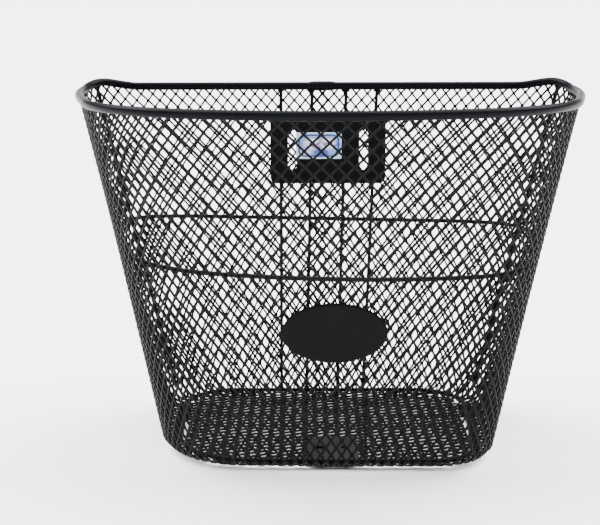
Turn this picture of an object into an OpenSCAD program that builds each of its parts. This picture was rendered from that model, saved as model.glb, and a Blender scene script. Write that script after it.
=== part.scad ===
// Handlebar basket: expanded-mesh wall and floor, rim hoop, wire frame, mount plate, badge.
// Units are millimetres. X is width, the front is towards -Y, Z is up.
// The origin is under the middle of the basket, at the height of its lowest wires.

/* [Rim] */
// diameter of the hoop's tube
rim_d = 6; // [4:0.5:10]
// height of the hoop's centre line above the floor sheet's underside
rim_h = 250; // [180:1:320]
// how much the hoop's back corners stand above its middle
rim_rise = 8; // [0:0.5:12]
// distance from a back corner over which the hoop comes down again
rise_reach = 36; // [20:1:120]
// half width of the outline's back corner, before rounding
top_rear_x = 184; // [120:0.5:240]
// half width of the outline's widest place, before rounding
top_side_x = 181; // [120:0.5:240]
// distance from the back edge to the widest place
top_side_y = 82; // [40:0.5:120]
// half width of the outline's front corner, before rounding
top_front_x = 145.5; // [90:0.5:200]
// distance from the back edge to the front corner, before rounding
top_front_y = 225.5; // [120:0.5:260]
// distance from the back edge to the bow's tip, before rounding
top_tip_y = 281; // [160:0.5:330]
// radius of the back corners
top_rear_r = 32; // [20:0.5:80]
// radius of the sides
top_side_r = 450; // [100:1:600]
// radius of the front corners
top_front_r = 120; // [30:0.5:130]
// radius of the front bow
top_bow_r = 240; // [100:1:400]
// outside diameter of the sleeve over the hoop's joint
sleeve_d = 7.4; // [6.5:0.1:10]
// length of the sleeve
sleeve_l = 22; // [10:1:40]
// sideways place of the sleeve's middle
sleeve_x = -4; // [-30:0.5:30]

/* [Bottom outline] */
// distance from the middle to the left back corner, before rounding
low_rear_left = 124; // [80:0.5:160]
// distance from the middle to the right back corner, before rounding
low_rear_right = 121; // [80:0.5:160]
// distance from the middle to the left front corner, before rounding
low_front_left = 117; // [80:0.5:160]
// distance from the middle to the right front corner, before rounding
low_front_right = 111.5; // [80:0.5:160]
// distance from the back edge to the left front corner
low_left_y = 171; // [110:0.5:220]
// distance from the back edge to the right front corner
low_right_y = 174.5; // [110:0.5:220]
// distance from the back edge to the middle of the front edge
low_front_y = 173.7; // [110:0.1:220]
// radius of the back corners
low_rear_r = 48; // [15:0.5:70]
// radius of the left front corner
low_left_r = 62; // [15:0.5:80]
// radius of the right front corner
low_right_r = 40; // [15:0.5:80]
// radius with which the wall turns in to the floor
turn_r = 10; // [4:0.5:20]
// how far the floor hoop lies inside the bottom outline
ring_inset = 11; // [4:0.5:20]

/* [Mesh] */
// thickness of the expanded sheet
mesh_t = 2; // [1:0.1:3]

/* [Wires] */
// diameter of the middle and floor hoops
ring_d = 3.2; // [2:0.1:5]
// height of the middle hoop's centre above the floor sheet's underside
mid_h = 145.6; // [80:1:200]
// sideways slope of the middle hoop, in degrees
mid_tilt = 1.2; // [0:0.1:3]
// diameter of the four bent wires
wire_d = 2.6; // [2:0.1:4]
// radius of the wires' bend under the back edge
wire_bend_r = 9; // [4:0.5:20]
// diameter of the corner stays
stay_d = 3; // [2:0.1:5]

/* [Mount plate] */
// width of the plate
plate_w = 90.5; // [60:0.5:120]
// height of the plate
plate_h = 53; // [30:0.5:80]
// thickness of the plate
plate_t = 2; // [1:0.1:4]
// sideways place of the plate's middle
plate_x = 0.8; // [-20:0.1:20]
// height of the plate's middle above the floor sheet's underside
plate_z = 200.2; // [120:0.1:220]
// radius of the plate's corners
plate_r = 5; // [1:0.5:12]
// width of each slot
slot_w = 6.8; // [4:0.1:12]
// length of each slot, end to end
slot_l = 31.6; // [12:0.1:44]
// distance between the slots' middles
slot_gap = 56; // [30:0.5:80]

/* [Label] */
// width of the label
label_w = 35.6; // [20:0.1:60]
// height of the label
label_h = 20.8; // [10:0.1:40]
// thickness of the label
label_t = 0.4; // [0.2:0.1:1]
// sideways place of the label's middle
label_x = -6.4; // [-30:0.1:30]
// height of the label's middle above the floor sheet's underside
label_z = 203.7; // [120:0.1:220]

/* [Badge] */
// width of the oval
badge_w = 67.5; // [30:0.5:100]
// height of the oval
badge_h = 45.5; // [20:0.5:80]
// thickness of the oval
badge_t = 2.4; // [1:0.1:5]
// sideways place of the oval's middle
badge_x = 1; // [-20:0.5:20]
// height of the oval's middle above the floor sheet's underside
badge_z = 108.5; // [60:0.5:180]

/* [Floor plate] */
// width of the plate
foot_w = 36; // [20:0.5:60]
// depth of the plate
foot_l = 47; // [20:0.5:80]
// thickness of the plate
foot_t = 1.6; // [1:0.1:4]
// sideways place of the plate's middle
foot_x = 1.9; // [-20:0.1:20]
// distance from the back edge to the plate's middle
foot_y = 137; // [60:0.5:160]
// radius of the bolt holes
foot_hole_r = 3.2; // [1.5:0.1:5]
// distance between the bolt holes
foot_hole_gap = 18; // [10:0.5:30]

/* [Hidden] */
$fn = 48;
arc_n = 16;
count = 96;
tube_n = 8;
steel = [0.10, 0.10, 0.11];
mesh_grey = [0.16, 0.16, 0.18];
floor_z = wire_d;
top_v = [[-top_rear_x, 0], [-top_side_x, -top_side_y], [-top_front_x, -top_front_y],
         [0, -top_tip_y], [top_front_x, -top_front_y], [top_side_x, -top_side_y],
         [top_rear_x, 0]];
top_r = [top_rear_r, top_side_r, top_front_r, top_bow_r, top_front_r, top_side_r, top_rear_r];
low_v = [[-low_rear_left, 0], [-low_front_left, -low_left_y], [0, -low_front_y],
         [low_front_right, -low_right_y], [low_rear_right, 0]];
low_r = [low_rear_r, low_left_r, 200, low_right_r, low_rear_r];
in_x = ring_inset;
back_in = ring_d / 2 + mesh_t / 2;
ring_v = [[-low_rear_left + in_x, -back_in], [-low_front_left + in_x, -low_left_y + in_x],
          [0, -low_front_y + in_x], [low_front_right - in_x, -low_right_y + in_x],
          [low_rear_right - in_x, -back_in]];
ring_r = [low_rear_r - in_x, low_left_r - in_x, 200, low_right_r - in_x, low_rear_r - in_x];

function unit(v) = v / norm(v);
function lerp(a, b, t) = a + (b - a) * t;
// Point k of the rounded corner i of a polygon v with corner radii r.
function corner_point(v, r, i, k) =
    let (m = len(v), c = v[i], a = unit(v[(i + m - 1) % m] - c), b = unit(v[(i + 1) % m] - c),
         half = acos(a * b) / 2, reach = r[i] / tan(half),
         s = c + a * reach, e = c + b * reach, o = c + unit(a + b) * r[i] / sin(half),
         a0 = atan2(s.y - o.y, s.x - o.x), a1 = atan2(e.y - o.y, e.x - o.x),
         d = (a1 - a0 + 540) % 360 - 180)
    o + r[i] * [cos(a0 + d * k / arc_n), sin(a0 + d * k / arc_n)];
// A closed outline of lines and arcs, as count points that are evenly spaced along it.
function outline(v, r) =
    let (m = len(v), start = (v[0] + v[m - 1]) / 2,
         p = [start, for (i = [0:m - 1]) for (k = [0:arc_n]) corner_point(v, r, i, k), start],
         n = len(p),
         run = [for (i = 0, s = 0; i < n; s = s + (i < n - 1 ? norm(p[i + 1] - p[i]) : 0), i = i + 1) s],
         xs = [for (i = [0:n - 1]) [run[i], p[i].x]],
         ys = [for (i = [0:n - 1]) [run[i], p[i].y]])
    [for (i = [0:count - 1])
        let (s = run[n - 1] * i / count) [lookup(s, xs), lookup(s, ys)]];
top_line = outline(top_v, top_r);
low_line = outline(low_v, low_r);
ring_line = outline(ring_v, ring_r);
front_y = min([for (p = top_line) p.y]);
// The whole basket is moved back by half its depth, so that it stands over the origin.
rear_y = -front_y / 2 - (sleeve_d - rim_d) / 4;
// How much higher the hoop's centre line is at a point: it stands up at the back corners.
function rise_at(p) =
    let (d = norm([abs(p.x) - top_rear_x, p.y])) rim_rise * pow(max(0, 1 - d / rise_reach), 1.5);
// Outward direction of a closed outline at point i, in plan.
function out_at(line, i) =
    let (n = len(line), t = unit(line[(i + 1) % n] - line[(i + n - 1) % n])) [t.y, -t.x];
// Centre line of the wall sheet at height z, in plan.
function wall_xy(i, z) = lerp(low_line[i], top_line[i], z / rim_h);
function wall_out(i, z) =
    let (n = count, t = unit(wall_xy((i + 1) % n, z) - wall_xy((i + n - 1) % n, z))) [t.y, -t.x];
function placed(p) = p + [0, rear_y, floor_z];

// A ring-shaped solid from a closed section of m points at each of n stations.
module closed_loop(points, n, m) {
    polyhedron(
        points = points,
        faces = [for (i = [0:n - 1]) for (j = [0:m - 1])
            let (a = i * m + j, b = ((i + 1) % n) * m + j,
                 c = ((i + 1) % n) * m + (j + 1) % m, d = i * m + (j + 1) % m)
            each [[a, b, c], [a, c, d]]],
        convexity = 10);
}
// A round wire or tube that follows a closed path.
module hoop(path, d) {
    n = len(path);
    points = [for (i = [0:n - 1])
        let (t = unit(path[(i + 1) % n] - path[(i + n - 1) % n]),
             side = unit(cross(t, [0, 0, 1])), up = cross(side, t))
        for (k = [0:tube_n - 1])
            placed(path[i] + d / 2 * (cos(360 * k / tube_n) * side + sin(360 * k / tube_n) * up))];
    closed_loop(points, n, tube_n);
}
// A straight round rod between two points.
module rod(a, b, d) {
    v = b - a;
    translate(a) rotate([0, acos(v.z / norm(v)), atan2(v.y, v.x)]) cylinder(d = d, h = norm(v));
}
// A round wire along an open path in an upright plane, with flat ends.
module bent_rod(path, d) {
    n = len(path);
    points = [for (i = [0:n - 1])
        let (t = unit(path[min(i + 1, n - 1)] - path[max(i - 1, 0)]),
             side = unit(cross(t, [1, 0, 0])), up = cross(side, t))
        for (k = [0:tube_n - 1])
            path[i] + d / 2 * (cos(360 * k / tube_n) * side + sin(360 * k / tube_n) * up)];
    polyhedron(
        points = points,
        faces = concat(
            [for (i = [0:n - 2]) for (k = [0:tube_n - 1])
                let (a = i * tube_n + k, b = a + tube_n, d = i * tube_n + (k + 1) % tube_n,
                     c = d + tube_n)
                each [[a, b, c], [a, c, d]]],
            [[for (k = [0:tube_n - 1]) k],
             [for (k = [tube_n - 1:-1:0]) (n - 1) * tube_n + k]]),
        convexity = 4);
}

module slot_cut(x) {
    for (s = [-1, 1])
        translate([plate_x + x, rear_y + 10, floor_z + plate_z + s * (slot_l - slot_w) / 2])
            rotate([90, 0, 0]) cylinder(d = slot_w, h = 20);
    translate([plate_x + x - slot_w / 2, rear_y - 10, floor_z + plate_z - (slot_l - slot_w) / 2])
        cube([slot_w, 20, slot_l - slot_w]);
}
module foot_cuts() {
    for (s = [-1, 1])
        translate([foot_x + s * foot_hole_gap / 2, rear_y - foot_y, floor_z - 5])
            cylinder(r = foot_hole_r, h = 12);
}

// Heights, turn angles and insets of the wall section, from the floor edge up to the rim.
turn_a = [90, 60, 30, 0];
wall_z = [70, 130, 190];
module wall_mesh() {
    levels = concat([for (a = turn_a) [mesh_t / 2 + turn_r * (1 - sin(a)), a]],
                    [for (z = wall_z) [z, 0]], [[rim_h, 0]]);
    last = len(levels) - 1;
    function mid_point(i, l) =
        let (z = levels[l][0], a = levels[l][1],
             p = wall_xy(i, max(z, mesh_t / 2 + turn_r)), q = ring_line[i])
        [p.x + (q.x - p.x) * (1 - cos(a)), p.y + (q.y - p.y) * (1 - cos(a)),
         l == last ? rim_h - 2 + rise_at(top_line[i]) : z];
    function normal(i, l) =
        let (a = levels[l][1], o = wall_out(i, levels[l][0])) [o.x * cos(a), o.y * cos(a), -sin(a)];
    points = [for (i = [0:count - 1]) each concat(
        [for (l = [0:last]) placed(mid_point(i, l) - normal(i, l) * mesh_t / 2)],
        [for (l = [last:-1:0]) placed(mid_point(i, l) + normal(i, l) * mesh_t / 2)])];
    color(mesh_grey) difference() {
        closed_loop(points, count, 2 * (last + 1));
        slot_cut(-slot_gap / 2);
        slot_cut(slot_gap / 2);
    }
}
module floor_mesh() {
    color(mesh_grey) difference() {
        translate([0, rear_y, floor_z]) linear_extrude(mesh_t) polygon(ring_line);
        foot_cuts();
    }
}
module rim_tube() {
    color(steel) hoop([for (p = top_line) [p.x, p.y, rim_h + rise_at(p)]], rim_d);
}
module rim_sleeve() {
    color([0.2, 0.2, 0.21])
        translate([sleeve_x - sleeve_l / 2, rear_y, floor_z + rim_h]) rotate([0, 90, 0])
            difference() {
                cylinder(d = sleeve_d, h = sleeve_l);
                translate([0, 0, -1]) cylinder(d = rim_d, h = sleeve_l + 2);
            }
}
module mid_ring() {
    inset = mesh_t / 2 + ring_d / 2;
    color(steel) hoop([for (i = [0:count - 1])
        let (z = mid_h - wall_xy(i, mid_h).x * tan(mid_tilt), p = wall_xy(i, z) - wall_out(i, z) * inset)
        [p.x, p.y, z]], ring_d);
}
module floor_ring() {
    color(steel) hoop([for (p = ring_line) [p.x, p.y, mesh_t + ring_d / 2]], ring_d);
}
// A bent wire: xt at the rim, xb at the bend and xf at the front edge.
module bent_wire(xt, xb, xf) {
    y = rear_y + mesh_t / 2 + wire_d / 2;
    z = floor_z - wire_d / 2;
    yf = rear_y - low_front_y + turn_r + 6;
    bend = [for (a = [0:22.5:90])
        [lerp(xt, xb, 0.97) + (xb - lerp(xt, xb, 0.97)) * a / 90,
         y - wire_bend_r * (1 - cos(a)), z + wire_bend_r * (1 - sin(a))]];
    color(steel) bent_rod(concat([[xt, y, floor_z + rim_h - 2]], bend, [[xf, yf, z]]), wire_d);
}
module rear_wire_1() { bent_wire(-36, -36.6, -34.8); }
module rear_wire_2() { bent_wire(-11.6, -16.2, -16.8); }
module rear_wire_3() { bent_wire(15, 8.9, 3.8); }
module rear_wire_4() { bent_wire(39, 30, 25.2); }
// An upright wire outside a back corner, along the wall.
module corner_stay(i) {
    off = mesh_t / 2 + stay_d / 2;
    ends = [for (z = [turn_r + 2, rim_h])
        let (p = wall_xy(i, z) + wall_out(i, z) * off)
        placed([p.x, p.y, z == rim_h ? rim_h - 1 + rise_at(top_line[i]) : z])];
    color(steel) rod(ends[0], ends[1], stay_d);
}
module corner_stay_left() { corner_stay(16); }
module corner_stay_right() { corner_stay(count - 16); }
module mount_plate() {
    y = rear_y - mesh_t / 2;
    color(steel) difference() {
        translate([plate_x, y, floor_z + plate_z]) rotate([90, 0, 0]) linear_extrude(plate_t)
            union() {
                square([plate_w - 2 * plate_r, plate_h], center = true);
                square([plate_w, plate_h - 2 * plate_r], center = true);
                for (sx = [-1, 1]) for (sz = [-1, 1])
                    translate([sx * (plate_w / 2 - plate_r), sz * (plate_h / 2 - plate_r)])
                        circle(r = plate_r);
            }
        slot_cut(-slot_gap / 2);
        slot_cut(slot_gap / 2);
    }
}
module label() {
    color([0.75, 0.85, 0.95])
        translate([label_x - label_w / 2, rear_y - mesh_t / 2 - plate_t - label_t,
                   floor_z + label_z - label_h / 2])
            cube([label_w, label_t, label_h]);
}
module badge() {
    lean = atan2(-front_y - low_front_y, rim_h);
    y = lerp(-low_front_y, front_y, badge_z / rim_h) - mesh_t / 2 / cos(lean) + 0.6;
    color([0.12, 0.12, 0.12])
        translate([badge_x, rear_y + y, floor_z + badge_z]) rotate([90 + lean, 0, 0])
            linear_extrude(badge_t)
                polygon([for (a = [0:7.5:352.5]) [badge_w / 2 * cos(a), badge_h / 2 * sin(a)]]);
}
module floor_plate() {
    color([0.35, 0.35, 0.36]) difference() {
        translate([foot_x - foot_w / 2, rear_y - foot_y - foot_l / 2, floor_z + mesh_t])
            cube([foot_w, foot_l, foot_t]);
        foot_cuts();
    }
}

wall_mesh();
floor_mesh();
rim_tube();
rim_sleeve();
mid_ring();
floor_ring();
rear_wire_1();
rear_wire_2();
rear_wire_3();
rear_wire_4();
corner_stay_left();
corner_stay_right();
mount_plate();
label();
badge();
floor_plate();
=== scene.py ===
import math

import bmesh
import bpy
import numpy as np
from mathutils import Matrix, Vector


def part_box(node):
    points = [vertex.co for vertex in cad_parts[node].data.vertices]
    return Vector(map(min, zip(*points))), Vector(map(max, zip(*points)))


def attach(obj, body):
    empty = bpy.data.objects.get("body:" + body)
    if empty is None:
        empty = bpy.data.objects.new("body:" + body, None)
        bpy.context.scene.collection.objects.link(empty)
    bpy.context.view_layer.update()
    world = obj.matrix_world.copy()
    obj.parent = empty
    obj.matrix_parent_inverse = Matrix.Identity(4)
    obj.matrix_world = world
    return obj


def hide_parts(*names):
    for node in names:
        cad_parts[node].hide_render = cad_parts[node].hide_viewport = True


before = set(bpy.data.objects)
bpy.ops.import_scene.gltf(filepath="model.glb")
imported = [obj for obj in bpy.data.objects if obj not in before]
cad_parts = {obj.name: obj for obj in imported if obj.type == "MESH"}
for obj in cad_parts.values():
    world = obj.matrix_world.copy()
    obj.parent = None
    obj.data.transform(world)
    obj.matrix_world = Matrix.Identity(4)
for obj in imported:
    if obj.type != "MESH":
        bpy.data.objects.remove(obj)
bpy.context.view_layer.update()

MM = 0.001

# ---------------------------------------------------------------- sizes, in millimetres
RIM_D, RIM_H, RIM_RISE, RISE_REACH, REAR_X = 6.0, 250.0, 8.0, 36.0, 184.0
TOP_CORNERS = [(-REAR_X, 0), (-181, -82), (-145.5, -225.5), (0, -281), (145.5, -225.5),
               (181, -82), (REAR_X, 0)]
TOP_RADII = [32, 450, 120, 240, 120, 450, 32]
LOW_FRONT = 173.7
LOW_CORNERS = [(-124, 0), (-117, -171), (0, -LOW_FRONT), (111.5, -174.5), (121, 0)]
LOW_RADII = [48, 62, 200, 40, 48]
SHEET_T, RING_D, RING_INSET = 2.0, 3.2, 11.0
BACK_IN = SHEET_T / 2 + RING_D / 2
RING_CORNERS = [(-113, -BACK_IN), (-106, -160), (0, -LOW_FRONT + RING_INSET), (100.5, -163.5),
                (110, -BACK_IN)]
RING_RADII = [37, 51, 200, 29, 37]
TURN_R, MID_H, MID_TILT = 10.0, 145.6, 1.2
WIRE_D, WIRE_BEND_R, STAY_D = 2.6, 9.0, 3.0
WIRE_X = [(-36, -36.6, -34.8), (-11.6, -16.2, -16.8), (15, 8.9, 3.8), (39, 30, 25.2)]
BACK_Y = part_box("rim_tube")[1][1] / MM - RIM_D / 2
FLOOR_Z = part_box("floor_mesh")[0][2] / MM


def placed(points):
    """Points given from the back edge and the floor sheet's underside, in metres in the frame."""
    return (np.asarray(points, float) + [0, BACK_Y, FLOOR_Z]) * MM


# ---------------------------------------------------------------- the basket's outlines
def rounded(corners, radii, steps=40):
    """A closed outline of lines and arcs, from the middle of its back edge."""
    v = np.asarray(corners, float)
    start = (v[0] + v[-1]) / 2
    points = [start]
    for i, c in enumerate(v):
        a, b = v[i - 1] - c, v[(i + 1) % len(v)] - c
        a, b = a / np.linalg.norm(a), b / np.linalg.norm(b)
        half = math.acos(float(np.clip(a @ b, -1, 1))) / 2
        s, e = c + a * radii[i] / math.tan(half), c + b * radii[i] / math.tan(half)
        o = c + (a + b) / np.linalg.norm(a + b) * radii[i] / math.sin(half)
        a0, a1 = math.atan2(*(s - o)[::-1]), math.atan2(*(e - o)[::-1])
        turn = (a1 - a0 + math.pi) % (2 * math.pi) - math.pi
        for k in range(steps + 1):
            t = a0 + turn * k / steps
            points.append(o + radii[i] * np.array([math.cos(t), math.sin(t)]))
    points.append(start)
    points = np.array(points)
    run = np.r_[0, np.cumsum(np.linalg.norm(np.diff(points, axis=0), axis=1))]
    return points, run / run[-1]


TOP, LOW, RING = (rounded(c, r) for c, r in
                  ((TOP_CORNERS, TOP_RADII), (LOW_CORNERS, LOW_RADII), (RING_CORNERS, RING_RADII)))


def on_line(line, t):
    """Points of an outline at fractions t of its length."""
    t = np.asarray(t, float) % 1.0
    return np.stack([np.interp(t, line[1], line[0][:, k]) for k in (0, 1)], -1)


def rise_at(xy):
    """How far the rim stands above its middle height: its back corners are raised."""
    d = np.hypot(np.abs(xy[..., 0]) - REAR_X, xy[..., 1])
    return RIM_RISE * np.clip(1 - d / RISE_REACH, 0, 1) ** 1.5


def wall_xy(t, z):
    """The middle of the wall sheet at height z, in plan."""
    low, top = on_line(LOW, t), on_line(TOP, t)
    return low + (top - low) * (np.asarray(z, float) / RIM_H)[..., None]


def wall_out(t, z):
    """Outward direction of the wall in plan."""
    step = 0.002
    d = wall_xy(np.asarray(t) + step, z) - wall_xy(np.asarray(t) - step, z)
    d /= np.linalg.norm(d, axis=-1)[..., None]
    return np.stack([d[..., 1], -d[..., 0]], -1)


# ---------------------------------------------------------------- a small language for node trees
class Value:
    """A socket that can stand in sums."""

    def __init__(self, net, socket):
        self.net, self.socket = net, socket

    def __add__(self, other): return self.net.math("ADD", self, other)
    def __radd__(self, other): return self.net.math("ADD", other, self)
    def __sub__(self, other): return self.net.math("SUBTRACT", self, other)
    def __rsub__(self, other): return self.net.math("SUBTRACT", other, self)
    def __mul__(self, other): return self.net.math("MULTIPLY", self, other)
    def __rmul__(self, other): return self.net.math("MULTIPLY", other, self)
    def __truediv__(self, other): return self.net.math("DIVIDE", self, other)


class Net:
    """Adds nodes to a tree."""

    def __init__(self, tree):
        self.tree = tree

    def node(self, kind, settings=None, inputs=None, out=0):
        """Adds a node: its settings first, then the values or links of its sockets."""
        made = self.tree.nodes.new(kind)
        for name, value in (settings or {}).items():
            setattr(made, name, value)
        for key, value in (inputs or {}).items():
            socket = made.inputs[key]
            if isinstance(value, Value):
                self.tree.links.new(value.socket, socket)
            else:
                socket.default_value = value
        if isinstance(out, (list, tuple)):
            return [Value(self, made.outputs[o]) for o in out]
        return Value(self, made.outputs[out]) if len(made.outputs) else made

    def math(self, operation, a, b=0.0):
        return self.node("ShaderNodeMath", {"operation": operation}, {0: a, 1: b})

    def vector(self, x=0.0, y=0.0, z=0.0):
        return self.node("ShaderNodeCombineXYZ", None, {0: x, 1: y, 2: z})

    def vmath(self, operation, a, b=None, scale=None):
        inputs = {0: a}
        if b is not None:
            inputs[1] = b
        if scale is not None:
            inputs["Scale"] = scale
        return self.node("ShaderNodeVectorMath", {"operation": operation}, inputs)


# ---------------------------------------------------------------- finishes
def new_finish(name):
    material = bpy.data.materials.new(name)
    material.use_nodes = True
    material.node_tree.nodes.clear()
    return material, Net(material.node_tree)


def close_finish(net, **sockets):
    shader = net.node("ShaderNodeBsdfPrincipled", None,
                      {name.replace("_", " "): value for name, value in sockets.items()})
    net.node("ShaderNodeOutputMaterial", None, {"Surface": shader})


def powder_coat(name, dark, light, rough, peel, peel_size, specular=0.5):
    """Baked powder coat: uneven black, a fine orange peel, dust caught in the low spots; where light is set
    well above dark, as for the stay plate, the lighter tone is painted sheen.
    """
    material, net = new_finish(name)
    place = net.node("ShaderNodeTexCoord", out="Object")
    broad = net.node("ShaderNodeTexNoise", None,
                     {"Vector": place, "Scale": 34.0, "Detail": 3.0, "Roughness": 0.6})
    fine = net.node("ShaderNodeTexNoise", None,
                    {"Vector": place, "Scale": peel_size, "Detail": 2.0, "Roughness": 0.5})
    speck = net.node("ShaderNodeTexVoronoi", {"feature": "F1"},
                     {"Vector": place, "Scale": 420.0, "Randomness": 1.0})
    dust = net.node("ShaderNodeMapRange", None,
                    {"Value": speck, "From Min": 0.0, "From Max": 0.16, "To Min": 1.0, "To Max": 0.0})
    tone = (broad - 0.5) * 1.2 + (fine - 0.5) * 0.35 + 0.5 + dust * 0.10
    clear = net.node("ShaderNodeClamp", None, {"Value": tone})
    colour = net.node("ShaderNodeMix", {"data_type": "RGBA"},
                      {0: clear, 6: (*dark, 1), 7: (*light, 1)}, out=2)
    bump = net.node("ShaderNodeBump", None,
                    {"Strength": peel, "Distance": 0.0002, "Height": fine + broad * 0.6})
    close_finish(net, Base_Color=colour, Roughness=(fine - 0.5) * 0.14 + (broad - 0.5) * 0.16 + rough,
                 Normal=bump, Specular_IOR_Level=specular)
    return material


def badge_finish():
    """Moulded black plastic with a fine spark-eroded grain."""
    material, net = new_finish("badge_grain")
    place = net.node("ShaderNodeTexCoord", out="Object")
    grain = net.node("ShaderNodeTexNoise", None,
                     {"Vector": place, "Scale": 1500.0, "Detail": 2.0, "Roughness": 0.7})
    broad = net.node("ShaderNodeTexNoise", None, {"Vector": place, "Scale": 45.0, "Detail": 2.0})
    colour = net.node("ShaderNodeMix", {"data_type": "RGBA"},
                      {0: (grain - 0.5) * 0.8 + (broad - 0.5) * 0.8 + 0.5,
                       6: (0.0016, 0.0016, 0.0018, 1), 7: (0.0034, 0.0034, 0.0038, 1)}, out=2)
    bump = net.node("ShaderNodeBump", None,
                    {"Strength": 0.35, "Distance": 0.0001, "Height": grain})
    close_finish(net, Base_Color=colour, Roughness=(broad - 0.5) * 0.1 + 0.58, Normal=bump,
                 Specular_IOR_Level=0.04)
    return material


def label_finish(low, high):
    """A generic printed sticker: pale blue ground, a dark blue border line and a plain blue oval."""
    material, net = new_finish("label_print")
    place = net.node("ShaderNodeTexCoord", out="Object")
    x, _, z = net.node("ShaderNodeSeparateXYZ", None, {"Vector": place}, out=(0, 1, 2))
    mid = [(low[k] + high[k]) / 2 for k in range(3)]
    half = [(high[k] - low[k]) / 2 for k in range(3)]
    u, v = (x - mid[0]) / half[0], (z - mid[2]) / half[2]

    def box_distance(a, b, corner):
        """Distance in millimetres from a rounded rectangle of half sizes a, b."""
        qx = net.math("MAXIMUM", net.math("ABSOLUTE", (x - mid[0]) / MM) - (a - corner), 0.0)
        qz = net.math("MAXIMUM", net.math("ABSOLUTE", (z - mid[2]) / MM) - (b - corner), 0.0)
        return net.math("SQRT", qx * qx + qz * qz) - corner

    def soft(value, edge, width):
        """1 where value is under edge, 0 over it."""
        return net.node("ShaderNodeMapRange", None,
                        {"Value": value, "From Min": edge - width, "From Max": edge + width,
                         "To Min": 1.0, "To Max": 0.0})

    def oval(cx, cz, rx, rz):
        ex, ez = (u - cx) / rx, (v - cz) / rz
        return net.math("SQRT", ex * ex + ez * ez)

    edge = box_distance(half[0] / MM - 2.3, half[2] / MM - 2.2, 4.4)
    line = soft(net.math("ABSOLUTE", edge), 0.80, 0.2)
    inner_line = soft(net.math("ABSOLUTE", edge + 1.9), 0.28, 0.15)
    inside = soft(edge, -0.6, 0.3)
    cloud = net.node("ShaderNodeTexNoise", None, {"Vector": place, "Scale": 120.0, "Detail": 3.0})
    blots = net.node("ShaderNodeTexNoise", None, {"Vector": place, "Scale": 650.0, "Detail": 1.0})
    left_eye = soft(oval(-0.30, 0.12, 0.34, 0.42), 1.0, 0.2)
    right_eye = soft(oval(0.42, 0.14, 0.34, 0.42), 1.0, 0.2)
    drop = soft(oval(0.10, -0.56, 0.34, 0.30), 1.0, 0.12)
    far_drop = soft(oval(-0.62, -0.52, 0.30, 0.26), 1.0, 0.2)
    band = soft(net.math("ABSOLUTE", v - 0.02 - net.math("SINE", u * 5.0) * 0.06), 0.24, 0.08)
    marks = soft(blots, 0.50, 0.03) * band

    def blend(mask, under, over):
        return net.node("ShaderNodeMix", {"data_type": "RGBA"}, {0: mask, 6: under, 7: over}, out=2)

    colour = blend(cloud, (0.42, 0.68, 0.90, 1), (0.66, 0.86, 0.97, 1))
    colour = blend(inside * 0.85, colour, (0.20, 0.33, 0.74, 1))
    colour = blend(left_eye, colour, (0.92, 0.84, 0.93, 1))
    colour = blend(right_eye, colour, (0.90, 0.80, 0.90, 1))
    colour = blend(far_drop * 0.9, colour, (0.66, 0.78, 0.95, 1))
    colour = blend(marks * 0.95, colour, (0.13, 0.08, 0.36, 1))
    colour = blend(drop, colour, (0.045, 0.10, 0.46, 1))
    colour = blend(inner_line * 0.7, colour, (0.10, 0.20, 0.55, 1))
    colour = blend(line, colour, (0.020, 0.055, 0.26, 1))
    close_finish(net, Base_Color=colour, Roughness=cloud * 0.12 + 0.38)
    return material


def stage_finish():
    material, net = new_finish("stage_paper")
    place = net.node("ShaderNodeTexCoord", out="Object")
    cloud = net.node("ShaderNodeTexNoise", None, {"Vector": place, "Scale": 2.0, "Detail": 1.0})
    colour = net.node("ShaderNodeMix", {"data_type": "RGBA"},
                      {0: cloud, 6: (0.92, 0.92, 0.92, 1), 7: (0.94, 0.94, 0.94, 1)}, out=2)
    close_finish(net, Base_Color=colour, Roughness=cloud * 0.1 + 0.8)
    return material


MESH_COAT = powder_coat("mesh_coat", (0.0020, 0.0020, 0.0027), (0.0042, 0.0042, 0.0054),
                        0.55, 0.30, 900.0, 0.06)
RIM_COAT = powder_coat("rim_coat", (0.0022, 0.0024, 0.0036), (0.0044, 0.0047, 0.0066),
                       0.34, 0.16, 520.0, 0.03)
WIRE_COAT = powder_coat("wire_coat", (0.0020, 0.0020, 0.0027), (0.0042, 0.0042, 0.0052),
                        0.45, 0.25, 800.0, 0.08)
PLATE_COAT = powder_coat("plate_coat", (0.0018, 0.0018, 0.0023), (0.0036, 0.0036, 0.0044),
                         0.50, 0.28, 700.0, 0.05)
# The stay plate's coat runs up to a lighter grey: painted sheen, the light from above that it reflects,
# laid over its black paint.
STAY_PLATE_COAT_WITH_PAINTED_SHEEN = powder_coat("stay_plate_coat_with_painted_sheen", (0.0015, 0.0015, 0.0017), (0.011, 0.011, 0.012),
                              0.50, 0.30, 260.0, 0.06)
BADGE_GRAIN = badge_finish()
LABEL_PRINT = label_finish(*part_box("label"))


# ---------------------------------------------------------------- pieces
def new_object(name, mesh):
    piece = bpy.data.objects.new(name, mesh)
    bpy.context.scene.collection.objects.link(piece)
    return piece


def fasten(piece, node):
    """The piece rides with the basket and stands for the CAD node, which it hides."""
    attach(piece, "root")
    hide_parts(node)


def new_tree(name, inputs):
    """A geometry tree with a geometry input and named inputs; returns it, its net and their sockets."""
    tree = bpy.data.node_groups.new(name, "GeometryNodeTree")
    tree.interface.new_socket("Geometry", in_out="INPUT", socket_type="NodeSocketGeometry")
    for label, kind in inputs:
        tree.interface.new_socket(label, in_out="INPUT", socket_type=kind)
    tree.interface.new_socket("Geometry", in_out="OUTPUT", socket_type="NodeSocketGeometry")
    net = Net(tree)
    entry = tree.nodes.new("NodeGroupInput")
    return tree, net, {s.name: Value(net, s) for s in entry.outputs if s.name}


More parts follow.
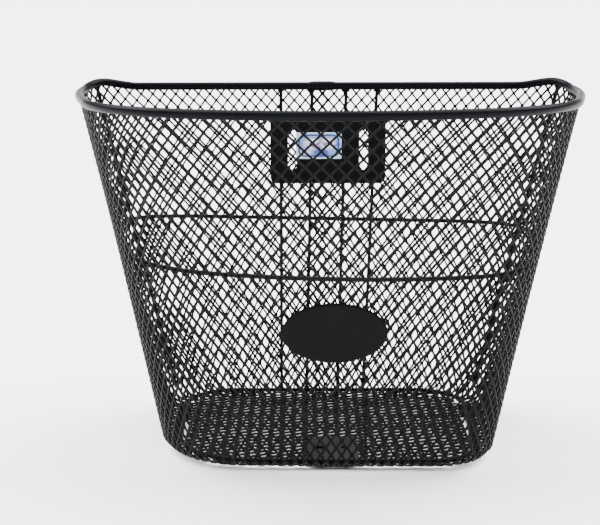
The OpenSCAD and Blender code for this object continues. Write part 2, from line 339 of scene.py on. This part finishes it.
def close_tree(net, geometry, material):
    """Every tree ends in Realize Instances, smooth faces and Set Material."""
    whole = net.node("GeometryNodeRealizeInstances", None, {"Geometry": geometry})
    smooth = net.node("GeometryNodeSetShadeSmooth", None, {"Geometry": whole})
    done = net.node("GeometryNodeSetMaterial", None, {"Geometry": smooth, "Material": material})
    exit_node = net.tree.nodes.new("NodeGroupOutput")
    net.tree.links.new(done.socket, exit_node.inputs["Geometry"])


def grow(name, base, tree, values):
    """Runs a geometry tree on a base mesh and keeps the result as a plain mesh."""
    carrier = new_object(name + "_base", base)
    modifier = carrier.modifiers.new("grow", "NODES")
    modifier.node_group = tree
    for item in tree.interface.items_tree:
        if item.item_type == "SOCKET" and item.in_out == "INPUT" and item.name in values:
            modifier[item.identifier] = values[item.name]
    depsgraph = bpy.context.evaluated_depsgraph_get()
    mesh = bpy.data.meshes.new_from_object(carrier.evaluated_get(depsgraph), depsgraph=depsgraph)
    mesh.name = name
    carrier.modifiers.remove(modifier)
    bpy.data.objects.remove(carrier)
    return new_object(name, mesh)


def mesh_tree():
    """Expanded metal: strands that zigzag up a sheet and meet their neighbours at the bonds."""
    tree, net, into = new_tree("expanded_metal", [
        ("Strands", "NodeSocketInt"), ("Half Rows", "NodeSocketInt"),
        ("Bond", "NodeSocketFloat"), ("Strand Width", "NodeSocketFloat"),
        ("Strand Thickness", "NodeSocketFloat"), ("Raise", "NodeSocketFloat"),
        ("Material", "NodeSocketMaterial")])
    sheet = into["Geometry"]
    per = into["Half Rows"] * 2.0 + 2.0
    points = net.node("GeometryNodePoints", None, {"Count": per * into["Strands"]})
    index = net.node("GeometryNodeInputIndex")
    strand = net.math("FLOOR", (index + 0.5) / per)
    step = index - strand * per
    half_row = net.math("FLOOR", (step + 0.5) / 2.0)
    end = step - half_row * 2.0
    side = net.math("MODULO", strand + half_row, 2.0)
    u = (strand + side) / into["Strands"]
    v = (half_row + (end - 0.5) * into["Bond"]) / into["Half Rows"]
    flat = net.vector(net.node("ShaderNodeClamp", None, {"Value": u}),
                      net.node("ShaderNodeClamp", None, {"Value": v, "Min": 0.0005, "Max": 0.9995}))

    def sampled(value):
        source = net.node("GeometryNodeInputNamedAttribute", {"data_type": "FLOAT_VECTOR"},
                          {"Name": "UVMap"})
        return net.node("GeometryNodeSampleUVSurface", {"data_type": "FLOAT_VECTOR"},
                        {"Mesh": sheet, "Value": value, "UV Map": source, "Sample UV": flat},
                        out=("Value", "Is Valid"))

    def named(label):
        return net.node("GeometryNodeInputNamedAttribute", {"data_type": "FLOAT_VECTOR"},
                        {"Name": label})

    at, valid = sampled(net.node("GeometryNodeInputPosition"))
    out_way, _ = sampled(named("out_way"))
    along, _ = sampled(named("along"))
    # Slightly under one strand apart, so that neighbours run into each other at the bonds.
    shift = (0.5 - side) * into["Strand Width"] * 0.88
    lift = (end - 0.5) * into["Raise"]
    place = net.vmath("ADD", at, net.vmath("ADD", net.vmath("SCALE", along, scale=shift),
                                           net.vmath("SCALE", out_way, scale=lift)))
    moved = net.node("GeometryNodeSetPosition", None, {"Geometry": points, "Position": place})
    kept = net.node("GeometryNodeStoreNamedAttribute",
                    {"data_type": "FLOAT_VECTOR", "domain": "POINT"},
                    {"Geometry": moved, "Name": "face_out", "Value": out_way})
    marked = net.node("GeometryNodeStoreNamedAttribute", {"data_type": "INT", "domain": "POINT"},
                      {"Geometry": kept, "Name": "strand_no", "Value": strand})
    missing = net.node("FunctionNodeBooleanMath", {"operation": "NOT"}, {0: valid})
    cut = net.node("GeometryNodeDeleteGeometry", {"domain": "POINT"},
                   {"Geometry": marked, "Selection": missing})
    group = net.node("GeometryNodeInputNamedAttribute", {"data_type": "INT"}, {"Name": "strand_no"})
    curves = net.node("GeometryNodePointsToCurves", None, {"Points": cut, "Curve Group ID": group})
    turned = net.node("GeometryNodeSetCurveNormal", {"mode": "FREE"},
                      {"Curve": curves, "Normal": named("face_out")})
    section = net.node("GeometryNodeCurvePrimitiveQuadrilateral", {"mode": "RECTANGLE"},
                       {"Width": into["Strand Thickness"], "Height": into["Strand Width"]})
    body = net.node("GeometryNodeCurveToMesh", None,
                    {"Curve": turned, "Profile Curve": section, "Fill Caps": True})
    close_tree(net, body, into["Material"])
    return tree


def tube_tree():
    """A round wire or tube along the edges of a line."""
    tree, net, into = new_tree("round_wire", [
        ("Radius", "NodeSocketFloat"), ("Sides", "NodeSocketInt"),
        ("Material", "NodeSocketMaterial")])
    curve = net.node("GeometryNodeMeshToCurve", None, {"Mesh": into["Geometry"]})
    section = net.node("GeometryNodeCurvePrimitiveCircle", {"mode": "RADIUS"},
                       {"Resolution": into["Sides"], "Radius": into["Radius"]})
    body = net.node("GeometryNodeCurveToMesh", None,
                    {"Curve": curve, "Profile Curve": section, "Fill Caps": True})
    close_tree(net, body, into["Material"])
    return tree


MESH_TREE, TUBE_TREE = mesh_tree(), tube_tree()


def tube(name, points, diameter, sides, material, closed=False):
    """A wire through the points, which are in metres."""
    n = len(points)
    line = bpy.data.meshes.new(name + "_line")
    last = n if closed else n - 1
    line.from_pydata([tuple(p) for p in points], [(i, (i + 1) % n) for i in range(last)], [])
    return grow(name, line, TUBE_TREE,
                {"Radius": diameter / 2 * MM, "Sides": sides, "Material": material})


def sheet_mesh(name, place, flat, out_way, along, faces):
    """A sheet for the strands to follow: flat place, outward way and the way along it at each point."""
    mesh = bpy.data.meshes.new(name)
    mesh.from_pydata([tuple(p) for p in place], [], faces)
    uv = mesh.uv_layers.new(name="UVMap")
    for loop in mesh.loops:
        uv.data[loop.index].uv = flat[loop.vertex_index]
    for label, values in (("out_way", out_way), ("along", along)):
        store = mesh.attributes.new(label, "FLOAT_VECTOR", "POINT")
        store.data.foreach_set("vector", np.asarray(values, np.float32).ravel())
    return mesh


# ---------------------------------------------------------------- the mesh wall
COLUMNS, CROWDING, OVERLAP = 114, 0.075, 0.0125
ROW_LOW, ROW_FALL = 12.2, 0.0086          # height of a row at the floor, and how it falls with height
STRAND_W, STRAND_T, BOND = 1.42, 1.10, 0.30
FRONT_SHIFT = 0.0023                      # the pattern's sideways shift at the front
LAP_RUN, LAP_RISE, LAP_LIFT = 0.0022, 0.0016, 1.25
RISE_FROM = 60                            # the wall's height where its corners start to rise
BOND_RAISE = 0.45


def wall_sheet():
    """The sheet from inside the rim down the wall, round its turn and in to the floor hoop."""
    rows_up = lambda z: math.log(ROW_LOW / (ROW_LOW - ROW_FALL * z)) / ROW_FALL
    z_turn = TURN_R + SHEET_T / 2
    turn_rows = TURN_R * math.pi / 2 / ROW_LOW
    total = turn_rows + rows_up(RIM_H - 1) - rows_up(z_turn)
    half_rows = round(2 * total)
    strands = round(2 * COLUMNS * (1 + OVERLAP))
    nu, nv = 420, 90
    c = np.linspace(-0.0005, OVERLAP + 0.9995, nu + 1)
    t = (c - CROWDING / (2 * math.pi) * np.sin(2 * math.pi * c)
         + FRONT_SHIFT * (1 - np.cos(2 * math.pi * c)) / 2)
    place, flat, outs, alongs = [], [], [], []
    for j in range(nv + 1):
        rows = total * j / nv
        if rows < turn_rows:
            a = math.pi / 2 * (1 - rows / turn_rows)
            z = SHEET_T / 2 + TURN_R * (1 - math.sin(a))
        else:
            a = 0.0
            n = rows - turn_rows + rows_up(z_turn)
            z = ROW_LOW / ROW_FALL * (1 - math.exp(-n * ROW_FALL))
        zs = np.full(nu + 1, z)
        p = wall_xy(t, np.maximum(zs, z_turn))
        q = on_line(RING, t)
        xy = p + (q - p) * (1 - math.cos(a))
        out = wall_out(t, zs)
        top_lift = rise_at(on_line(TOP, t)) * np.clip((z - RISE_FROM) / (RIM_H - RISE_FROM), 0, 1)
        # The sheet's second end lies over its first one, outside it.
        over = np.clip((c - 1.0 + LAP_RISE) / LAP_RUN, 0, 1) * LAP_LIFT
        xy = xy + out * (over * math.cos(a))[:, None]
        place.append(np.c_[xy, zs + top_lift - over * math.sin(a)])
        flat.append(np.c_[np.linspace(0, 1, nu + 1), np.full(nu + 1, j / nv)])
        outs.append(np.c_[out * math.cos(a), np.full(nu + 1, -math.sin(a))])
        alongs.append(np.c_[-out[:, 1], out[:, 0], np.zeros(nu + 1)])
    w = nu + 1
    faces = [(j * w + i, j * w + i + 1, (j + 1) * w + i + 1, (j + 1) * w + i)
             for j in range(nv) for i in range(nu)]
    mesh = sheet_mesh("wall_sheet", placed(np.concatenate(place)), np.concatenate(flat),
                      np.concatenate(outs), np.concatenate(alongs), faces)
    return mesh, strands, half_rows


sheet, strands, half_rows = wall_sheet()
wall = grow("mesh_wall", sheet, MESH_TREE,
            {"Strands": strands, "Half Rows": half_rows, "Bond": BOND,
             "Strand Width": STRAND_W * MM, "Strand Thickness": STRAND_T * MM,
             "Raise": BOND_RAISE * MM, "Material": MESH_COAT})
fasten(wall, "wall_mesh")

# ---------------------------------------------------------------- the mesh floor
FLOOR_LONG, FLOOR_SHORT = 16.5, 6.6
FLOOR_STRAND_W, FLOOR_BOND = 1.25, 0.34
FLOOR_MARGIN = 1.2 / 110                  # how far the sheet reaches past the hoop, as a share


def floor_sheet():
    """The flat sheet inside the floor hoop, with the diamonds' long way from left to right."""
    t = np.linspace(0, 1, 240, endpoint=False)
    line = on_line(RING, t)
    low, high = line.min(0), line.max(0)
    centre = (low + high) / 2
    line = centre + (line - centre) * (1 + FLOOR_MARGIN)
    low, high = line.min(0), line.max(0)
    strands = round(2 * (high[1] - low[1]) / FLOOR_SHORT)
    half_rows = round(2 * (high[0] - low[0]) / FLOOR_LONG)
    xy = np.vstack([centre, line])
    n = len(line)
    faces = [(0, 1 + i, 1 + (i + 1) % n) for i in range(n)]
    flat = np.c_[(xy[:, 1] - low[1]) / (high[1] - low[1]), (xy[:, 0] - low[0]) / (high[0] - low[0])]
    up = np.tile([0.0, 0.0, 1.0], (n + 1, 1))
    along = np.tile([0.0, 1.0, 0.0], (n + 1, 1))
    mesh = sheet_mesh("floor_sheet", placed(np.c_[xy, np.full(n + 1, SHEET_T / 2)]),
                      flat, up, along, faces)
    return mesh, strands, half_rows


sheet, strands, half_rows = floor_sheet()
floor_mesh = grow("mesh_floor", sheet, MESH_TREE,
                  {"Strands": strands, "Half Rows": half_rows, "Bond": FLOOR_BOND,
                   "Strand Width": FLOOR_STRAND_W * MM, "Strand Thickness": STRAND_T * MM,
                   "Raise": BOND_RAISE * MM, "Material": MESH_COAT})
fasten(floor_mesh, "floor_mesh")


# ---------------------------------------------------------------- hoops and wires
STAY_STATIONS = (("left", 16 / 96), ("right", 80 / 96))     # places along the wall's outline
WIRE_REACH = 6                            # how far the wires run past the front of the turn


def loop_t(n):
    """Even stations around a closed outline."""
    return np.arange(n) / n


t = loop_t(480)
line = on_line(TOP, t)
rim = tube("rim_hoop", placed(np.c_[line, RIM_H + rise_at(line)]), RIM_D, 20, RIM_COAT, closed=True)
fasten(rim, "rim_tube")

t = loop_t(360)
xy = wall_xy(t, np.full(360, MID_H))
z = MID_H - xy[:, 0] * math.tan(math.radians(MID_TILT))
xy = wall_xy(t, z) - wall_out(t, z) * BACK_IN
mid = tube("middle_hoop", placed(np.c_[xy, z]), RING_D, 12, WIRE_COAT, closed=True)
fasten(mid, "mid_ring")

floor_hoop = tube("floor_hoop", placed(np.c_[on_line(RING, t), np.full(360, SHEET_T + RING_D / 2)]),
                  RING_D, 12, WIRE_COAT, closed=True)
fasten(floor_hoop, "floor_ring")

for number, (xt, xb, xf) in enumerate(WIRE_X, 1):
    y, z = SHEET_T / 2 + WIRE_D / 2, -WIRE_D / 2
    x_turn = xt + (xb - xt) * 0.97
    path = [(xt, y, RIM_H - 2)]
    for k in range(9):
        a = math.pi / 2 * k / 8
        path.append((x_turn + (xb - x_turn) * k / 8, y - WIRE_BEND_R * (1 - math.cos(a)),
                     z + WIRE_BEND_R * (1 - math.sin(a))))
    path.append((xf, -LOW_FRONT + TURN_R + WIRE_REACH, z))
    wire = tube(f"back_wire_{number}", placed(path), WIRE_D, 12, WIRE_COAT)
    fasten(wire, f"rear_wire_{number}")

for name, station in STAY_STATIONS:
    ends = []
    for z in (TURN_R + 2, RIM_H):
        at = wall_xy(station, z) + wall_out(station, z) * (SHEET_T / 2 + STAY_D / 2)
        lift = rise_at(on_line(TOP, station)) - 1 if z == RIM_H else 0
        ends.append((at[0], at[1], z + lift))
    stay = tube(f"corner_wire_{name}", placed(ends), STAY_D, 12, WIRE_COAT)
    fasten(stay, f"corner_stay_{name}")


def weld_tree():
    """A small lump of weld on each point, turned and sized a little differently."""
    tree, net, into = new_tree("weld_lumps", [
        ("Size", "NodeSocketFloat"), ("Seed", "NodeSocketInt"), ("Material", "NodeSocketMaterial")])
    points = net.node("GeometryNodeMeshToPoints", None, {"Mesh": into["Geometry"]})
    lump = net.node("GeometryNodeMeshIcoSphere", None, {"Radius": into["Size"], "Subdivisions": 3})
    turn = net.node("FunctionNodeRandomValue", {"data_type": "FLOAT_VECTOR"},
                    {"Min": (-0.5, -0.5, -0.5), "Max": (0.5, 0.5, 0.5), "Seed": into["Seed"]})
    size = net.node("FunctionNodeRandomValue", {"data_type": "FLOAT_VECTOR"},
                    {"Min": (1.0, 0.62, 0.75), "Max": (1.35, 0.85, 1.15), "Seed": into["Seed"]})
    spread = net.node("GeometryNodeInstanceOnPoints", None,
                      {"Points": points, "Instance": lump, "Rotation": turn, "Scale": size})
    close_tree(net, spread, into["Material"])
    return tree


def weld_points():
    """Where the back wires and corner wires meet the rim, and the back wires the floor hoop."""
    y = SHEET_T / 2 + 0.5
    spots = []
    for xt, xb, _ in WIRE_X:
        spots += [(xt - 0.9, y, RIM_H - 3.4), (xt + 0.9, y, RIM_H - 3.4), (xb, 0.4, TURN_R + 1.5)]
        middle_x = xt + (xb - xt) * (1 - MID_H / RIM_H)
        spots.append((middle_x, 0.2, MID_H - middle_x * math.tan(math.radians(MID_TILT))))
    for _, station in STAY_STATIONS:
        at = wall_xy(station, RIM_H) + wall_out(station, RIM_H) * 1.2
        spots.append((at[0], at[1], RIM_H - 3.2 + float(rise_at(on_line(TOP, station)))))
    return spots


spots = bpy.data.meshes.new("weld_places")
spots.from_pydata([tuple(p) for p in placed(weld_points())], [], [])
welds = grow("weld_lumps", spots, weld_tree(), {"Size": 1.7 * MM, "Seed": 5, "Material": WIRE_COAT})
fasten(welds, "rear_wire_1")


# ---------------------------------------------------------------- plates
def flat_plate(name, rings, thickness, bevel, material, matrix):
    """A plate with rounded edges from a flat outline and its holes, laid in place by the matrix."""
    curve = bpy.data.curves.new(name + "_outline", "CURVE")
    curve.dimensions, curve.fill_mode = "2D", "BOTH"
    for ring in rings:
        spline = curve.splines.new("POLY")
        spline.points.add(len(ring) - 1)
        for point, (x, y) in zip(spline.points, ring):
            point.co = (x * MM, y * MM, 0, 1)
        spline.use_cyclic_u = True
    curve.extrude = (thickness / 2 - bevel) * MM
    curve.bevel_depth = bevel * MM
    curve.bevel_resolution = 2
    curve.offset = -bevel * MM
    carrier = bpy.data.objects.new(name + "_outline", curve)
    bpy.context.scene.collection.objects.link(carrier)
    depsgraph = bpy.context.evaluated_depsgraph_get()
    mesh = bpy.data.meshes.new_from_object(carrier.evaluated_get(depsgraph), depsgraph=depsgraph)
    bpy.data.objects.remove(carrier)
    mesh.name = name
    mesh.transform(matrix)
    work = bmesh.new()
    work.from_mesh(mesh)
    bmesh.ops.remove_doubles(work, verts=work.verts, dist=1e-6)
    bmesh.ops.recalc_face_normals(work, faces=work.faces)
    work.to_mesh(mesh)
    work.free()
    mesh.materials.clear()
    mesh.materials.append(material)
    return new_object(name, mesh)


def arc(cx, cy, r, a0, a1, n=10):
    """Points of an arc, its angles in degrees."""
    return [(cx + r * math.cos(math.radians(a0 + (a1 - a0) * k / n)),
             cy + r * math.sin(math.radians(a0 + (a1 - a0) * k / n))) for k in range(n + 1)]


def rounded_box(w, h, r):
    x, y = w / 2 - r, h / 2 - r
    return arc(x, y, r, 0, 90) + arc(-x, y, r, 90, 180) + arc(-x, -y, r, 180, 270) + arc(x, -y, r, 270, 360)


def slot_ring(w, length, cx):
    """An upright slot with round ends."""
    y = (length - w) / 2
    return arc(cx, y, w / 2, 0, 180, 16) + arc(cx, -y, w / 2, 180, 360, 16)


def middle(node):
    """The middle of a CAD node's box in metres, and its size in millimetres."""
    low, high = (np.array(v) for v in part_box(node))
    return (low + high) / 2, (high - low) / MM


UPRIGHT = Matrix.Rotation(math.radians(90), 4, "X")
SLOT_W, SLOT_LENGTH, SLOT_X = 6.8, 31.6, 28
FOOT_HOLE_R, FOOT_HOLE_X = 3.2, 9
centre, size = middle("mount_plate")
plate = flat_plate("slotted_plate",
                   [rounded_box(size[0], size[2], 5.0), slot_ring(SLOT_W, SLOT_LENGTH, -SLOT_X),
                    slot_ring(SLOT_W, SLOT_LENGTH, SLOT_X)],
                   size[1], 0.35, PLATE_COAT, Matrix.Translation(centre) @ UPRIGHT)
fasten(plate, "mount_plate")

centre, size = middle("label")
sticker = flat_plate("sticker", [rounded_box(size[0], size[2], 0.8)], size[1], 0.1, LABEL_PRINT,
                     Matrix.Translation(centre) @ UPRIGHT)
fasten(sticker, "label")

centre, size = middle("floor_plate")
stay_plate = flat_plate("stay_plate",
                        [rounded_box(size[0], size[1], 2.5),
                         arc(-FOOT_HOLE_X, 0, FOOT_HOLE_R, 0, 345, 23),
                         arc(FOOT_HOLE_X, 0, FOOT_HOLE_R, 0, 345, 23)],
                        size[2], 0.3, STAY_PLATE_COAT_WITH_PAINTED_SHEEN, Matrix.Translation(centre))
fasten(stay_plate, "floor_plate")


def oval_badge():
    """A thick oval with a rounded edge and a slight crown, lying on the sloping front."""
    w, h, thick = 67.5, 45.5, 2.4
    # Each step of the edge and crown: how far in from the outline, and how high.
    lean = math.atan2(-float(TOP[0][:, 1].min()) - LOW_FRONT, RIM_H)
    low, high = (np.array(v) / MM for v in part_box("badge"))
    profile = [(0.5, 0.0), (0.12, 0.25), (0, 0.6), (0, 1.1), (0.25, 1.55), (0.8, 1.9), (1.7, 2.1),
               (5, 2.2), (10, 2.28), (15, 2.33), (19, 2.36), (21.5, 2.38)]
    n = 96
    work = bmesh.new()
    rings = []
    for inset, height in profile:
        rings.append([work.verts.new(((w / 2 - inset) * math.cos(2 * math.pi * k / n),
                                      (h / 2 - inset) * math.sin(2 * math.pi * k / n), height))
                      for k in range(n)])
    for a, b in zip(rings, rings[1:]):
        for k in range(n):
            work.faces.new((a[k], a[(k + 1) % n], b[(k + 1) % n], b[k]))
    work.faces.new(rings[-1])
    work.faces.new(list(reversed(rings[0])))
    bmesh.ops.recalc_face_normals(work, faces=work.faces)
    mesh = bpy.data.meshes.new("badge_oval")
    work.to_mesh(mesh)
    work.free()
    for face in mesh.polygons:
        face.use_smooth = True
    tilt = Matrix.Rotation(math.pi / 2 + lean, 4, "X")
    # The back of the badge stands where the CAD badge's back does.
    normal = (tilt @ Vector((0, 0, 1))).normalized()
    middle_at = Vector((low + high) / 2) - normal * (thick / 2)
    mesh.transform(Matrix.Scale(MM, 4) @ Matrix.Translation(middle_at) @ tilt)
    mesh.materials.append(BADGE_GRAIN)
    return new_object("badge_oval", mesh)


fasten(oval_badge(), "badge")

# ---------------------------------------------------------------- the joint of the rim's ends
def rim_joint():
    """The lumpy weld where the rim's ends meet: thin at its ends and full in its middle."""
    low, high = (np.array(v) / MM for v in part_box("rim_sleeve"))
    centre = (low + high) / 2
    length, radius = high[0] - low[0], (high[2] - low[2]) / 2
    rng = np.random.default_rng(7)
    nx, na = 44, 28
    lumps = rng.normal(0, 1, (9, 4))
    work = bmesh.new()
    rings = []
    for i in range(nx + 1):
        s = i / nx
        end = min(1.0, math.sqrt(max(0.0, math.sin(math.pi * s))) * 1.25)
        row = []
        for k in range(na):
            a = 2 * math.pi * k / na
            bump = sum(0.045 * m[0] * math.sin((3 + 2 * j) * s * 3 + m[1] * 3 + (j % 4) * a)
                       for j, m in enumerate(lumps))
            r = 2.7 + (radius - 2.72 + 0.35 * bump) * end
            row.append(work.verts.new((low[0] + length * s, centre[1] + r * math.cos(a),
                                       centre[2] + r * math.sin(a))))
        rings.append(row)
    for a, b in zip(rings, rings[1:]):
        for k in range(na):
            work.faces.new((a[k], a[(k + 1) % na], b[(k + 1) % na], b[k]))
    work.faces.new(rings[0])
    work.faces.new(rings[-1])
    bmesh.ops.recalc_face_normals(work, faces=work.faces)
    mesh = bpy.data.meshes.new("rim_weld")
    work.to_mesh(mesh)
    work.free()
    for face in mesh.polygons:
        face.use_smooth = True
    mesh.transform(Matrix.Scale(MM, 4))
    mesh.materials.append(RIM_COAT)
    return new_object("rim_weld", mesh)


fasten(rim_joint(), "rim_sleeve")

# ---------------------------------------------------------------- stage, light and camera
stage = bpy.data.meshes.new("studio_floor")
# A wide floor that rises gently far behind, so that no edge of it shows.
stage.from_pydata([(-400, -400, 0), (400, -400, 0), (400, 100, 0), (-400, 100, 0),
                   (400, 400, 53), (-400, 400, 53)], [], [(0, 1, 2, 3), (3, 2, 4, 5)])
stage.materials.append(stage_finish())
new_object("studio_floor", stage)

world = bpy.data.worlds.new("studio")
bpy.context.scene.world = world
world.use_nodes = True
world.node_tree.nodes["Background"].inputs["Color"].default_value = (1, 1, 1, 1)
world.node_tree.nodes["Background"].inputs["Strength"].default_value = 0.3


def wide_light(name, power, source, spread):
    """Wide, soft light that falls the same over the whole floor, from the way of source."""
    light = bpy.data.lights.new(name, "SUN")
    light.energy, light.angle = power, math.radians(spread)
    lamp = bpy.data.objects.new(name, light)
    lamp.rotation_euler = Vector(source).to_track_quat("Z", "Y").to_euler()
    bpy.context.scene.collection.objects.link(lamp)


wide_light("left_light", 11.5, (-0.55, 0.25, 0.95), 60)
wide_light("right_light", 10.5, (0.55, 0.25, 0.95), 60)

camera = bpy.data.cameras.new("camera")
camera.lens, camera.sensor_width, camera.sensor_fit = 74.4, 36.0, "HORIZONTAL"
camera.clip_start, camera.clip_end = 0.05, 2000
eye = bpy.data.objects.new("camera", camera)
bpy.context.scene.collection.objects.link(eye)
yaw, pitch, roll = 0.00241, 0.20652, 0.00212
turn = (Matrix.Rotation(yaw, 3, "Z") @ Matrix.Rotation(-pitch, 3, "X")
        @ Matrix.Rotation(roll, 3, "Y"))
right, ahead, up = (turn @ Vector(v) for v in ((1, 0, 0), (0, 1, 0), (0, 0, 1)))
pose = Matrix((right, up, -ahead)).transposed().to_4x4()
pose.translation = (-0.019015, BACK_Y * MM - 0.974007, 0.316019)
eye.matrix_world = pose
bpy.context.scene.camera = eye
